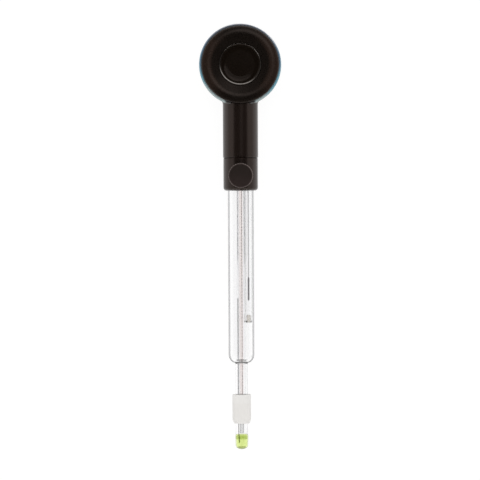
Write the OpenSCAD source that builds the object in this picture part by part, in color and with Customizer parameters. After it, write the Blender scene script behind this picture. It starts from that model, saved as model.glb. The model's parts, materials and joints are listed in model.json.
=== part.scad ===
// Combination pH electrode with a wireless head, lying face up with its tip towards -Y.
// The shaft runs along Y. Stations along it are counted from the tip of the bulb.
// Levels across the head are counted from the shaft's centreline, towards the front face.

/* [Glass shaft] */
// Outside diameter of the wide glass tube
tube_d = 12; // [11:0.1:13]
// Wall of the wide glass tube
tube_wall = 0.9; // [0.8:0.05:1.1]
// Length of the wide tube below the collar, its shoulder included
tube_len = 80; // [60:1:110]
// Height of the rounded shoulder at the end of the wide tube
shoulder_h = 4.3; // [3.4:0.1:5.5]
// Outside diameter of the narrow glass tube
narrow_d = 5.6; // [5.2:0.1:6]
// Wall of the narrow glass tube
narrow_wall = 0.6; // [0.5:0.05:0.7]
// Bare length of the narrow tube between the shoulder and the sleeve
narrow_len = 14.5; // [13:0.5:20]
// Space between the inner stem and the narrow tube
stem_space = 0.4; // [0.3:0.05:0.5]
// Wall of the inner stem
stem_wall = 0.5; // [0.4:0.05:0.6]

/* [Sensing tip] */
// Length of the sensing bulb
bulb_len = 7; // [6.5:0.25:9]
// Wall of the sensing bulb
bulb_wall = 0.45; // [0.35:0.05:0.6]
// Swell of the bulb's radius over the glass above it
bulb_swell = 0.15; // [0.1:0.05:0.3]
// Height of its rounded end
bulb_end = 1.85; // [1.4:0.05:2.4]
// Length of clear glass that shows between the bulb and the sleeve
tip_len = 5; // [4:0.25:7]
// Step in at the lower end of the ground taper, where the tubes are fused
tip_step = 0.25; // [0.1:0.05:0.4]

/* [Junction sleeve] */
// Wall of the sleeve round the taper's wide end
sleeve_wall = 1.1; // [0.8:0.1:1.6]
// Length of the sleeve
sleeve_len = 13.5; // [12:0.5:16]
// Height of the chamfer at the sleeve's lower end
sleeve_chamfer = 1.65; // [1:0.05:2]
// Growth of the radius along the ground taper
taper_rise = 0.3; // [0.2:0.05:0.4]
// Length of the ground taper
taper_len = 7.5; // [6:0.5:9]
// Height of the taper's lower end above the sleeve's lower end
taper_lift = 1.6; // [1:0.1:2.2]
// Diameter of the reference junction hole through the taper
junction_hole_d = 0.7; // [0.5:0.1:0.9]

/* [Reference chamber] */
// Space on both sides of the reference tube, between the stem and the wide tube
reference_space = 0.15; // [0.1:0.05:0.25]
// Wall of the inner reference tube
reference_wall = 0.5; // [0.4:0.05:0.6]
// Height of the reference tube's open end above the tube's shoulder
reference_lift = 18.8; // [10:0.1:24]
// Length of the ceramic frit in its end
frit_len = 3.5; // [2:0.1:5]
// Clear length between the frit and the coated silver element
element_lift = 6.7; // [4:0.1:9]
// Space round the coated part of the silver element
coating_space = 0.6; // [0.4:0.05:0.7]
// Length of the coated part of the silver element
coating_len = 10.8; // [8:0.1:14]
// Diameter of the bare silver wire
silver_d = 0.5; // [0.4:0.05:0.6]

/* [Inner leads] */
// Diameter of the silver wire that reaches into the bulb
bulb_wire_d = 0.26; // [0.2:0.01:0.32]
// Diameter of its coated end
bulb_coating_d = 0.66; // [0.5:0.02:0.8]
// Length of its coated end
bulb_coating_len = 3.6; // [2.5:0.1:4.2]
// Height of that end above the tip
bulb_wire_lift = 2.9; // [2.4:0.1:3.6]
// Wall of the soft sleeve round the temperature leads
lead_sleeve_wall = 0.28; // [0.2:0.02:0.34]
// Diameter of each temperature lead
lead_d = 0.26; // [0.2:0.02:0.4]
// Length of the temperature sensor
sensor_len = 8.6; // [6:0.2:11]

/* [Collar and neck] */
// Wall of the collar round the glass tube
collar_wall = 2.15; // [1.8:0.05:2.6]
// Length of the collar
collar_len = 15.1; // [14.8:0.1:20]
// Rounding of the collar's lower edge
collar_round = 1.4; // [0.6:0.1:1.6]
// Step in radius from the collar up to the neck
neck_step = 0.15; // [0:0.05:0.3]
// Wall of the neck
neck_wall = 1.95; // [1.6:0.05:2.3]
// Distance from the seam of the neck to the centre of the head
neck_len = 42.9; // [36:0.5:60]
// Chamfer on both sides of the seam
seam_chamfer = 0.3; // [0.1:0.05:0.5]
// Length of the collar's spigot inside the neck
spigot_len = 8; // [5:0.5:12]
// Length of the collar above the end of the glass tube
tube_stop = 1.9; // [1.4:0.1:2.4]
// Step in the tube's radius where it is drawn in for the collar
tube_draw_in = 0.2; // [0.1:0.05:0.3]
// Radius of the blend between the neck and the head
neck_blend = 2.4; // [1:0.1:4]

/* [Filling port] */
// Height of the filling port above the collar's lower end
port_lift = 6.7; // [6.2:0.1:7]
// Rise of the port's boss above the collar
boss_rise = 0.7; // [0.5:0.1:1.2]
// Wall of the boss round the cap's seal
boss_wall = 0.85; // [0.7:0.05:1.2]
// Overhang of the filling cap over the boss
cap_overhang = 0.75; // [0.4:0.05:1]
// Thickness of the filling cap's disc
cap_h = 2.4; // [1.8:0.1:3.2]
// Number of grip flutes round the filling cap
cap_flutes = 30; // [20:1:36]
// Radius of one grip flute
flute_r = 0.3; // [0.2:0.05:0.4]
// Diameter of the cap's threaded stem
cap_stem_d = 6; // [5:0.1:6.6]
// Thickness of the cap's seal
cap_seal_d = 0.86; // [0.7:0.02:1]
// Space between the cap's stem and the glass tube
cap_stem_space = 0.6; // [0.4:0.1:1]
// Diameter of the filling hole in the glass
filling_hole_d = 3; // [2:0.1:3.6]

/* [Battery] */
// Diameter of the coin cell
cell_d = 20; // [16:0.1:24]
// Thickness of the coin cell
cell_h = 3.2; // [2.5:0.1:4]
// Wall of the hub of the battery cover, round the cell
hub_wall = 0.9; // [0.7:0.1:1.2]
// Reach of the cover's locking lugs beyond its hub
lug_reach = 1.3; // [1.1:0.1:1.6]
// Width of the cover's flange beyond its lugs
cover_margin = 1.7; // [1.6:0.1:2.2]
// Thickness of the cover's flange
cover_t = 1.1; // [0.9:0.05:1.6]
// Length of the coin slot
slot_len = 14; // [10:0.5:18]
// Width of the coin slot
slot_w = 1.8; // [1.4:0.1:2.4]
// Depth of the coin slot
slot_depth = 0.7; // [0.5:0.05:0.8]

/* [Electronics] */
// Radius of one screw post
post_r = 1.5; // [1.3:0.1:1.8]
// Space between the screw posts and the battery cover's lugs
post_space = 0.4; // [0.3:0.1:0.8]
// Thickness of the circuit board
board_t = 1; // [0.8:0.1:1.6]
// Space between the coin cell and the plate of its holder
contact_space = 1.4; // [1.1:0.1:1.8]
// Number of lamps under the light ring between one board screw and the next
lamps_between = 2; // [1:1:3]
// Height of the switch under the button
switch_h = 3.2; // [2.6:0.1:3.8]

/* [Head] */
// Wall of the rear drum
drum_wall = 2; // [1.6:0.1:2.4]
// Depth of the rear drum
drum_h = 12.75; // [11:0.05:15]
// Rounding of the drum's rear edge
drum_round = 3; // [2:0.1:3.5]
// Overhang of the light ring beyond the drum
ring_overhang = 0.5; // [0.3:0.1:0.8]
// Thickness of the light ring
ring_h = 2.7; // [2.2:0.1:3.4]
// Rounding of the light ring's outer edges
ring_round = 1; // [0.6:0.1:1.1]
// Width of the light ring's inner skirt
skirt_w = 0.85; // [0.7:0.05:1]
// Width of the light ring that shows outside the bezel
ring_show = 1.2; // [0.8:0.1:1.8]
// Height of the bezel's straight side
bezel_side = 1.5; // [0.8:0.1:4]
// Rounding of the bezel's outer edge
bezel_edge = 0.3; // [0.2:0.05:0.4]
// Distance from the bezel's outer edge to the crest of its crown
crown_reach = 2.9; // [2.4:0.1:3.4]
// Radius of the crown in section
crown_r = 7; // [5:0.25:9]
// Slope of the bezel's inner dish, in degrees
dish_slope = 14; // [8:1:18]
// Wall of the bezel
bezel_wall = 1.5; // [1.2:0.1:1.8]

/* [Button] */
// Diameter of the round button
button_d = 19.3; // [16:0.1:22]
// Width of the button's hidden flange
button_flange = 1.1; // [0.8:0.1:1.4]
// Rounding of the button's rim
button_round = 0.4; // [0.2:0.1:0.6]
// Depth of the hollow in the button's face
button_hollow = 0.5; // [0.3:0.1:1]
// Width of the margin that rises from its flat centre to its rim
button_margin = 3.1; // [2:0.1:5]
// Gap round the button
button_gap = 0.2; // [0.15:0.05:0.3]

/* [Hidden] */
$fn = 96;
eps = 0.01;
// Gap between pieces that are cemented or pressed together
joint_gap = 0.05;
// Gap round pieces that move
run_gap = 0.2;
// Gap between a turning shaft or thread and its hole
thread_gap = 0.06;
// Gap between the neck's end and the light ring and bezel
ring_gap = 0.25;
// Gap between leads that share a bore
lead_gap = 0.045;

// Radii of the glass, from the wide tube inwards
tube_r = tube_d / 2;
tube_bore_r = tube_r - tube_wall;
tube_seat_r = tube_r - tube_draw_in;
narrow_r = narrow_d / 2;
narrow_bore_r = narrow_r - narrow_wall;
stem_r = narrow_bore_r - stem_space;
stem_bore_r = stem_r - stem_wall;
taper_r = narrow_r + taper_rise;
tip_r = taper_r - tip_step;
bulb_r = tip_r + bulb_swell;
// The bulb's wire and the soft sleeve share the stem's bore
bulb_wire_x = lead_gap + bulb_wire_d / 2 - stem_bore_r;
lead_sleeve_r = stem_bore_r - bulb_wire_d - 2 * lead_gap;
lead_sleeve_bore_r = lead_sleeve_r - lead_sleeve_wall;
lead_r = lead_d / 2;
// The reference tube stands midway between the stem and the wide tube's wall
reference_x = (stem_r + tube_bore_r) / 2;
reference_r = (tube_bore_r - stem_r) / 2 - reference_space;
reference_bore_r = reference_r - reference_wall;
silver_r = silver_d / 2;

// Radii of the collar and the neck
tube_socket_r = tube_seat_r + joint_gap;
collar_r = tube_socket_r + collar_wall;
neck_r = collar_r + neck_step;
neck_bore_r = neck_r - neck_wall;
spigot_r = neck_bore_r - joint_gap;
// The spigot's bore leaves room for the reference wire
spigot_bore_r = reference_x + silver_r + 0.75;

// Radii of the head, from the coin cell outwards
cell_r = cell_d / 2;
hub_bore_r = cell_r + 0.3;
hub_r = hub_bore_r + hub_wall;
lug_r = hub_r + lug_reach;
cover_r = lug_r + cover_margin;
post_x = lug_r + post_space + post_r;
cavity_r = post_x + post_r + 0.6;
drum_r = cavity_r + drum_wall;
head_r = drum_r + ring_overhang;
board_r = cavity_r - 0.4;

// Stations along the shaft, from the tip of the bulb
s_bulb = bulb_len;
s_sleeve = s_bulb + tip_len;
s_taper = s_sleeve + taper_lift;
s_shoulder = s_sleeve + sleeve_len + narrow_len;
s_reference = s_shoulder + reference_lift;
s_coating = s_reference + frit_len + element_lift;
s_collar = s_shoulder + tube_len;
s_port = s_collar + port_lift;
s_seam = s_collar + collar_len;
s_spigot = s_seam + spigot_len;
s_head = s_seam + neck_len;
overall_len = s_head + head_r;
s_tube_top = s_seam - tube_stop;
// Depth of the sealing plug inside the glass tube
plug_depth = 3.2;
s_plug = s_tube_top - plug_depth;
s_reference_top = s_tube_top - 1;
// The stem and the leads end above the sealing plug
s_stem_top = s_spigot + 2;
s_lead_top = s_stem_top + 4;

// Levels across the head, from the shaft's centreline towards the front
lv_back = -neck_r;
cover_recess = 0.15;
lv_cover_in = lv_back + cover_recess + cover_t;
lv_counterbore = lv_cover_in + 0.1;
// Thickness of the lip that the cover's lugs hold on to
lip_t = 1.5;
lv_floor = lv_counterbore + lip_t;
lug_t = 0.9;
lv_lug = lv_floor + 0.1;
lv_hub = lv_lug + lug_t;
lv_cell = lv_cover_in + 0.1;
lv_cell_top = lv_cell + cell_h;
lv_holder = lv_hub + 0.3;
holder_plate = 0.8;
lv_board = lv_cell_top + contact_space + holder_plate;
lv_board_top = lv_board + board_t;
lv_rim = lv_back + drum_h;
lv_ring_top = lv_rim + ring_h;
lamp_h = 0.8;
lv_skirt = lv_board_top + lamp_h + 0.3;

// The bezel's crown is one arc from its outer edge to the sloping dish
bezel_r = head_r - ring_show;
crown_x = bezel_r - crown_reach;
// Angle of the crown's outer end from the vertical, where the small edge rounding starts
crown_tilt = asin((crown_reach - bezel_edge) / (crown_r - bezel_edge));
crown_drop = bezel_edge + (crown_r - bezel_edge) * (1 - cos(crown_tilt));
lv_crest = lv_ring_top + bezel_side + crown_drop;
crown_centre = [crown_x, lv_crest - crown_r];
button_r = button_d / 2;
button_hole_r = button_r + button_gap;
function dish_point(r) = crown_centre + r * [-sin(dish_slope), cos(dish_slope)];
function dish_level(r, x) = dish_point(r)[1] - (dish_point(r)[0] - x) * tan(dish_slope);
lv_lip = dish_level(crown_r, button_hole_r);
lv_lip_under = dish_level(crown_r - bezel_wall, button_hole_r);
flange_t = 0.9;
lv_flange_top = lv_lip_under - 0.1;
lv_flange = lv_flange_top - flange_t;
lv_switch_top = lv_board_top + switch_h;
plunger_r = 1.6;
plunger_rise = 0.8;
lv_plunger = lv_switch_top + plunger_rise;

// Screws of the circuit board, and lugs of the battery cover
screw_r = 0.8;
screw_head_r = 1.2;
screw_head_h = 1;
screw_angles = [90, 210, 330];
lug_angles = [0, 120, 240];
lug_sweep = 26;
lug_turn = 45;

// Routes of the insulated leads: start beside the stem's top, end under the board
insulation_r = 0.42;
lead_spread = 1.2;
lead_landing = cavity_r - 3.1;
lead_starts = [bulb_wire_x - 0.3, -insulation_r - 0.01, insulation_r + 0.01, reference_x];

// Places a revolved piece on the shaft, its own Z running towards the head
module on_shaft(station = 0)
    translate([0, station - overall_len / 2, neck_r]) rotate([-90, 0, 0]) children();

// Places a piece in the head, its own Z running towards the front face
module in_head()
    translate([0, s_head - overall_len / 2, neck_r]) children();

// Places a piece at the filling port, its own Z running towards the front
module at_port()
    translate([0, s_port - overall_len / 2, neck_r]) children();

module revolve() rotate_extrude(convexity = 6) children();

// A tube between two stations
module tube(r_out, r_in, from, to)
    on_shaft(from) difference() {
        cylinder(r = r_out, h = to - from);
        translate([0, 0, -eps]) cylinder(r = r_in, h = to - from + 2 * eps);
    }

// A round rod between two stations, off the centreline by x
module rod(r, from, to, x = 0)
    on_shaft(from) translate([x, 0, 0]) cylinder(r = r, h = to - from);

// A ring of round section
module seal_ring(mean_r, section_d)
    revolve() translate([mean_r, 0]) circle(d = section_d, $fn = 32);

// A wedge of the plane between two angles, used to cut sectors
module wedge(r, sweep)
    polygon([[0, 0], [r, -r * tan(sweep / 2)], [r, r * tan(sweep / 2)]]);

// A flat ring sector
module sector(r_out, r_in, sweep, h)
    linear_extrude(h) intersection() {
        difference() {
            circle(r_out);
            circle(r_in);
        }
        wedge(1.5 * r_out, sweep);
    }

// A piece repeated round the head's axis
module around(angles) for (a = angles) rotate([0, 0, a]) children();

module drum_profile() {
    translate([0, lv_back]) square([drum_r - drum_round, drum_h]);
    translate([0, lv_back + drum_round]) square([drum_r, drum_h - drum_round]);
    translate([drum_r - drum_round, lv_back + drum_round]) circle(drum_round);
}

// In plan the neck flares into the drum along an arc that touches both
module neck_flare() {
    cx = neck_r + neck_blend;
    cy = sqrt(pow(drum_r + neck_blend, 2) - cx * cx);
    flare_len = cy * neck_blend / (drum_r + neck_blend);
    intersection() {
        on_shaft(s_head - cy) revolve() difference() {
            square([cx, flare_len]);
            translate([cx, 0]) circle(neck_blend);
        }
        in_head() translate([-drum_r, -2 * drum_r, lv_back]) cube([2 * drum_r, 2 * drum_r, drum_h]);
    }
}

module neck_solid()
    on_shaft(s_seam) revolve() polygon([
        [0, 0], [neck_r - seam_chamfer, 0], [neck_r, seam_chamfer],
        [neck_r, neck_len - drum_r / 2], [0, neck_len - drum_r / 2]
    ]);

module screw_post()
    translate([post_x, 0, lv_floor - eps]) cylinder(r = post_r, h = lv_board - lv_floor + eps);

module housing() color("#1d1b1c") {
    roof_t = 1.5;
    // The bore ends where it has opened fully into the drum
    bore_end = sqrt(cavity_r * cavity_r - neck_bore_r * neck_bore_r);
    difference() {
        union() {
            in_head() revolve() drum_profile();
            neck_solid();
            neck_flare();
        }
        in_head() translate([0, 0, lv_floor]) cylinder(r = cavity_r, h = drum_h);
        in_head() translate([0, 0, lv_rim]) cylinder(r = bezel_r + ring_gap, h = drum_h);
        difference() {
            on_shaft(s_seam - 1) cylinder(r = neck_bore_r, h = neck_len + 1 - bore_end);
            // Roof over the bore, below the ring and behind the neck's end
            in_head() translate([-drum_r, -head_r - roof_t, lv_rim - groove_w - roof_t])
                cube([2 * drum_r, 2 * drum_r, drum_h]);
        }
        battery_opening();
        in_head() translate([0, 0, lv_rim]) gasket_groove(cavity_r + drum_wall / 2);
    }
    in_head() around(screw_angles) difference() {
        screw_post();
        translate([post_x, 0, lv_floor + 1]) cylinder(r = screw_r, h = drum_h, $fn = 32);
    }
}

gasket_d = 0.9;
groove_w = 1;
// The battery cover's gasket lies between the lug notches and the counterbore's wall
battery_gasket_x = (lug_r + cover_r) / 2 + run_gap;

module gasket_groove(mean_r)
    translate([0, 0, -groove_w]) difference() {
        cylinder(r = mean_r + groove_w / 2, h = groove_w + eps);
        translate([0, 0, -eps]) cylinder(r = mean_r - groove_w / 2, h = groove_w + 3 * eps);
    }

// Counterbore, hole, lug notches and gasket groove for the battery cover
module battery_opening() in_head() {
    notch_margin = 4;
    recess_h = lv_counterbore - lv_back;
    translate([0, 0, lv_back - eps]) cylinder(r = cover_r + run_gap, h = recess_h + eps);
    translate([0, 0, lv_back - eps]) cylinder(r = hub_r + run_gap, h = lip_t + drum_h / 2);
    around([for (a = lug_angles) a + lug_turn]) translate([0, 0, lv_counterbore - eps])
        sector(lug_r + run_gap, hub_r - 1, lug_sweep + notch_margin, lip_t + 2 * eps);
    translate([0, 0, lv_counterbore]) mirror([0, 0, 1]) gasket_groove(battery_gasket_x);
}

module battery_gasket() color("#2a2a2a") in_head()
    translate([0, 0, lv_counterbore + gasket_d / 2 - joint_gap]) seal_ring(battery_gasket_x, gasket_d);

module battery_cover() color("#1d1b1c") in_head() {
    difference() {
        union() {
            translate([0, 0, lv_back + cover_recess]) cylinder(r = cover_r, h = cover_t);
            difference() {
                translate([0, 0, lv_cover_in - eps]) cylinder(r = hub_r, h = lv_hub - lv_cover_in + eps);
                translate([0, 0, lv_cover_in]) cylinder(r = hub_bore_r, h = drum_h);
            }
            around(lug_angles) translate([0, 0, lv_lug])
                sector(lug_r, hub_r - hub_wall / 2, lug_sweep, lug_t);
        }
        translate([-slot_len / 2, -slot_w / 2, lv_back - eps])
            cube([slot_len, slot_w, cover_recess + slot_depth + eps]);
    }
}

module coin_cell() color("#b9bcc0") in_head() {
    can_step = 0.25;
    translate([0, 0, lv_cell]) cylinder(r = cell_r, h = cell_h - can_step);
    translate([0, 0, lv_cell_top - can_step - eps]) cylinder(r = cell_r - 1.2, h = can_step + eps);
}

module battery_holder() color("#e8e4d8") in_head() {
    h = lv_board - lv_holder;
    holder_wall = 1.4;
    pocket_r = cell_r + run_gap;
    middle_hole_r = 3;
    window_w = contact_w + 1;
    translate([0, 0, lv_holder]) difference() {
        cylinder(r = pocket_r + holder_wall, h = h);
        translate([0, 0, -eps]) cylinder(r = pocket_r, h = h - holder_plate + eps);
        translate([0, 0, -eps]) cylinder(r = middle_hole_r, h = h + 2 * eps);
        // Window in the wall for the positive contact
        translate([pocket_r - 1, -window_w / 2, -eps]) cube([holder_wall + 2, window_w, h + 2 * eps]);
    }
}

blade_t = 0.3;
contact_w = 3;

// A flat spring blade, cut to an outline in the plane across the head
module blade(points) in_head() rotate([90, 0, 0])
    translate([0, 0, -contact_w / 2]) linear_extrude(contact_w) polygon(points);

// It presses on the rim of the cell, and its foot is under the board
module positive_contact() color("#c9a24a") {
    foot = 1.5;
    lean = 0.6;
    inner_x = cell_r + joint_gap;
    blade([
        [inner_x, lv_hub + 0.1], [inner_x + blade_t, lv_hub + 0.1],
        [inner_x + blade_t + lean, lv_board - blade_t], [inner_x + blade_t + foot, lv_board - blade_t],
        [inner_x + blade_t + foot, lv_board], [inner_x + lean, lv_board]
    ]);
}

// A bowed spring under the middle of the board
module negative_contact() color("#c9a24a") {
    reach = 2.4;
    foot = 0.5;
    crown = 0.6;
    low = lv_cell_top + joint_gap;
    blade([
        [-reach, lv_board], [-reach, lv_board - blade_t], [-crown, low], [crown, low],
        [reach, lv_board - blade_t], [reach, lv_board], [reach - foot, lv_board],
        [crown - blade_t / 2, low + blade_t], [blade_t / 2 - crown, low + blade_t], [foot - reach, lv_board]
    ]);
}

module circuit_board() color("#1f5a3a") in_head() difference() {
    translate([0, 0, lv_board]) cylinder(r = board_r, h = board_t);
    around(screw_angles) translate([post_x, 0, lv_board - eps])
        cylinder(r = screw_r + joint_gap, h = board_t + 2 * eps, $fn = 32);
}

module board_screws() color("#c8cacc") in_head() around(screw_angles) translate([post_x, 0, 0]) {
    shank = 2.6;
    driver_r = 0.5;
    difference() {
        union() {
            translate([0, 0, lv_board_top]) cylinder(r = screw_head_r, h = screw_head_h);
            translate([0, 0, lv_board_top - board_t - shank])
                cylinder(r = screw_r - joint_gap, h = shank + board_t + eps, $fn = 32);
        }
        translate([0, 0, lv_board_top + 0.4]) cylinder(r = driver_r, h = screw_head_h, $fn = 6);
    }
}

// Pieces on the board stand beside the switch, and each is given as its width, length and height
switch_w = 6;
board_gap = 2;
radio = [7, 10, 1.6];
processor = [4, 4, 0.9];
memory = [3, 3, 0.8];
regulator = [3.2, 1.6, 0.7];
crystal = [3.2, 2.5, 0.8];

module radio_module() color("#b5b8bb") in_head()
    translate([-switch_w / 2 - board_gap - radio[0], -radio[1] / 2, lv_board_top]) cube(radio);

module circuit_chips() color("#222326") in_head() translate([switch_w / 2 + board_gap, 0, lv_board_top]) {
    translate([0, -processor[1] / 2, 0]) cube(processor);
    translate([0, -processor[1] / 2 - board_gap / 2 - memory[1], 0]) cube(memory);
    translate([0, processor[1] / 2 + board_gap, 0]) cube(regulator);
    translate([-switch_w - crystal[0], -radio[1] / 2 - board_gap - crystal[1], 0]) cube(crystal);
}

module ring_lamps() color("#dfe9ef") in_head() {
    lamp_w = 1.6;
    lamp_d = 0.8;
    step = 120 / (lamps_between + 1);
    around([for (a = screw_angles) for (i = [1:lamps_between]) a + i * step])
        translate([board_r - lamp_d - 0.1, -lamp_w / 2, lv_board_top]) cube([lamp_d, lamp_w, lamp_h]);
}

module switch_body() color("#2b2b2e") in_head() difference() {
    translate([-switch_w / 2, -switch_w / 2, lv_board_top]) cube([switch_w, switch_w, switch_h]);
    translate([0, 0, lv_switch_top - 1.7]) cylinder(r = plunger_r + run_gap / 2, h = switch_h);
}

module switch_plunger() color("#efe9dd") in_head()
    translate([0, 0, lv_switch_top - 1]) cylinder(r = plunger_r, h = lv_plunger - lv_switch_top + 1);

// The button's face is flat in the middle, and its margin curves up to a rounded rim
module button() color("#17140f") in_head() {
    plate = 1.3;
    skirt = 1.2;
    push_r = 2;
    rib_w = 1;
    lv_under = lv_lip - button_hollow - plate;
    rim_w = 0.3;
    rim_x = button_r - button_round;
    // The margin is an arc that starts level at the flat centre's edge
    margin_w = button_margin - button_round - rim_w;
    margin_r = (margin_w * margin_w + button_hollow * button_hollow) / (2 * button_hollow);
    flat_r = button_r - button_margin;
    revolve() polygon(concat(
        [[0, lv_under], [0, lv_lip - button_hollow]],
        arc([flat_r, lv_lip - button_hollow + margin_r], margin_r, -90, asin(margin_w / margin_r) - 90, 12),
        arc([rim_x, lv_lip - button_round], button_round, 90, 0, 8),
        [
            [button_r, lv_flange_top], [button_r + button_flange, lv_flange_top],
            [button_r + button_flange, lv_flange], [button_r - skirt, lv_flange],
            [button_r - skirt, lv_under]
        ]
    ));
    translate([0, 0, lv_plunger]) cylinder(r = push_r, h = lv_under - lv_plunger + plate / 3);
    for (a = [0, 90]) rotate([0, 0, a]) translate([skirt / 2 - button_r, -rib_w / 2, lv_flange])
        cube([button_d - skirt, rib_w, lv_under - lv_flange + plate / 3]);
}

// Points along an arc, its two ends included
function arc(centre, r, from, to, steps = 16) =
    [for (i = [0:steps]) let (a = from + (to - from) * i / steps) centre + r * [cos(a), sin(a)]];

// A straight side, a small edge rounding, a broad crown and a dish that slopes down to the button
module front_bezel() color("#17140f") in_head() {
    side_x = bezel_r - bezel_wall;
    inner_r = crown_r - bezel_wall;
    // Angle, from the crown's centre, at which its inner arc meets the inside of the straight side
    side_angle = acos((side_x - crown_x) / inner_r);
    revolve() polygon(concat(
        [[bezel_r, lv_ring_top]],
        arc([bezel_r - bezel_edge, lv_ring_top + bezel_side], bezel_edge, 0, 90 - crown_tilt, 6),
        arc(crown_centre, crown_r, 90 - crown_tilt, 90 + dish_slope),
        [[button_hole_r, lv_lip], [button_hole_r, lv_lip_under]],
        arc(crown_centre, inner_r, 90 + dish_slope, side_angle), [[side_x, lv_ring_top]]
    ));
}

// The ring is notched for the neck, which runs up to the bezel
module light_ring() color("#7fc7e6") difference() {
    skirt_r = cavity_r - 0.15;
    round_x = head_r - ring_round;
    in_head() revolve() polygon(concat(
        [[skirt_r - skirt_w, lv_skirt], [skirt_r, lv_skirt], [skirt_r, lv_rim]],
        arc([round_x, lv_rim + ring_round], ring_round, -90, 0, 8),
        arc([round_x, lv_ring_top - ring_round], ring_round, 0, 90, 8),
        [[skirt_r - skirt_w, lv_ring_top]]
    ));
    difference() {
        on_shaft(s_seam) cylinder(r = neck_r + ring_gap, h = neck_len);
        in_head() cylinder(r = bezel_r, h = 2 * head_r, center = true);
    }
}

module ring_gasket() color("#2a2a2a")
    in_head() translate([0, 0, lv_rim - groove_w / 2]) seal_ring(cavity_r + drum_wall / 2, gasket_d);

// A cubic curve from a to d, with its ends' directions set by b and c
function curve_point(a, b, c, d, t) =
    pow(1 - t, 3) * a + 3 * t * pow(1 - t, 2) * b + 3 * t * t * (1 - t) * c + pow(t, 3) * d;
function curve_slope(a, b, c, d, t) =
    3 * pow(1 - t, 2) * (b - a) + 6 * t * (1 - t) * (c - b) + 3 * t * t * (d - c);

// A round lead swept along that curve, which stays in planes close to X constant
module lead(a, b, c, d, r) {
    rings = 12;
    sides = 8;
    points = [
        for (i = [0:rings]) let (
            t = i / rings,
            p = curve_point(a, b, c, d, t),
            u = curve_slope(a, b, c, d, t) / norm(curve_slope(a, b, c, d, t)),
            side = cross(u, [1, 0, 0]) / norm(cross(u, [1, 0, 0])),
            up = cross(side, u)
        ) for (j = [0:sides - 1]) p + r * (cos(360 * j / sides) * side + sin(360 * j / sides) * up)
    ];
    walls = [for (i = [0:rings - 1]) for (j = [0:sides - 1]) let (k = (j + 1) % sides)
        [i * sides + j, (i + 1) * sides + j, (i + 1) * sides + k, i * sides + k]];
    first = [for (j = [0:sides - 1]) j];
    last = [for (j = [sides - 1:-1:0]) rings * sides + j];
    polyhedron(points, concat(walls, [first], [last]));
}

module board_leads() color("#c8402f") in_head() {
    start_y = s_lead_top - s_head;
    for (i = [0:3]) {
        landing_x = (i - 1.5) * lead_spread;
        lead(
            [lead_starts[i], start_y, 0], [lead_starts[i], start_y + 8, 0],
            [landing_x, -lead_landing, -6], [landing_x, -lead_landing, lv_board], insulation_r
        );
    }
}

module collar_profile() {
    h = collar_len;
    difference() {
        union() {
            translate([0, collar_round]) square([collar_r, h - collar_round - seam_chamfer]);
            square([collar_r - collar_round, h]);
            translate([collar_r - collar_round, collar_round]) circle(collar_round);
            polygon([
                [0, h - seam_chamfer], [collar_r, h - seam_chamfer], [collar_r - seam_chamfer, h],
                [spigot_r, h], [spigot_r, h + spigot_len], [0, h + spigot_len]
            ]);
        }
        translate([-eps, -eps]) square([tube_socket_r + eps, h - tube_stop + joint_gap + eps]);
        translate([-eps, 0]) square([spigot_bore_r + eps, h + spigot_len + eps]);
    }
}

// The boss, the seat in it for the cap's seal, and the cap's level on it
seal_x = cap_stem_d / 2 + 0.1 + cap_seal_d / 2;
seat_r = seal_x + cap_seal_d / 2 + run_gap;
seat_depth = cap_seal_d + 0.04;
boss_r = seat_r + boss_wall;
boss_level = collar_r + boss_rise;
lv_cap = boss_level + joint_gap;

module collar() color("#1f1c1d") difference() {
    union() {
        on_shaft(s_collar) revolve() collar_profile();
        at_port() difference() {
            cylinder(r = boss_r, h = boss_level);
            // The boss starts inside the collar's wall
            translate([0, -2 * boss_r, 0]) rotate([-90, 0, 0])
                cylinder(r = (tube_socket_r + collar_r) / 2, h = 4 * boss_r);
        }
    }
    at_port() cylinder(r = cap_stem_d / 2 + thread_gap, h = boss_level + 1);
    at_port() translate([0, 0, boss_level - seat_depth]) cylinder(r = seat_r, h = seat_depth + 1);
}

// The cap's disc is pressed on to a stud of its screw
stud_r = cap_stem_d / 2 - 0.8;
stud_len = cap_h - 0.9;

module filling_cap() color("#211d1e") at_port() {
    cap_r = boss_r + cap_overhang;
    edge = 0.35;
    difference() {
        union() {
            translate([0, 0, lv_cap]) cylinder(r = cap_r, h = cap_h - edge);
            translate([0, 0, lv_cap + cap_h - edge - eps])
                cylinder(r1 = cap_r, r2 = cap_r - edge, h = edge + eps);
        }
        translate([0, 0, lv_cap - eps]) cylinder(r = stud_r + joint_gap, h = stud_len + joint_gap + eps);
        for (i = [0:cap_flutes - 1]) rotate([0, 0, 360 * i / cap_flutes])
            translate([cap_r + flute_r / 3, 0, lv_cap - 1])
                cylinder(r = flute_r, h = cap_h + 2, $fn = 24);
    }
}

module cap_screw() color("#2a2627") at_port() {
    lv_stem = tube_seat_r + cap_stem_space;
    lv_shoulder = lv_cap - joint_gap;
    point = 0.4;
    translate([0, 0, lv_stem]) cylinder(r1 = cap_stem_d / 2 - point, r2 = cap_stem_d / 2, h = point);
    translate([0, 0, lv_stem + point - eps])
        cylinder(d = cap_stem_d, h = lv_shoulder - lv_stem - point + eps);
    translate([0, 0, lv_shoulder - eps]) cylinder(r = stud_r, h = stud_len + joint_gap + eps);
}

module filling_cap_seal() color("#9a3b2a")
    at_port() translate([0, 0, boss_level - cap_seal_d / 2]) seal_ring(seal_x, cap_seal_d);

// Quarter of an ellipse that joins two radii, as points from the narrow end
function shoulder_curve(r_narrow, r_wide, base, top, steps = 14) = [
    for (i = [0:steps]) let (a = 90 * i / steps)
        [r_narrow + (r_wide - r_narrow) * sin(a), top - (top - base) * cos(a)]
];

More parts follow.
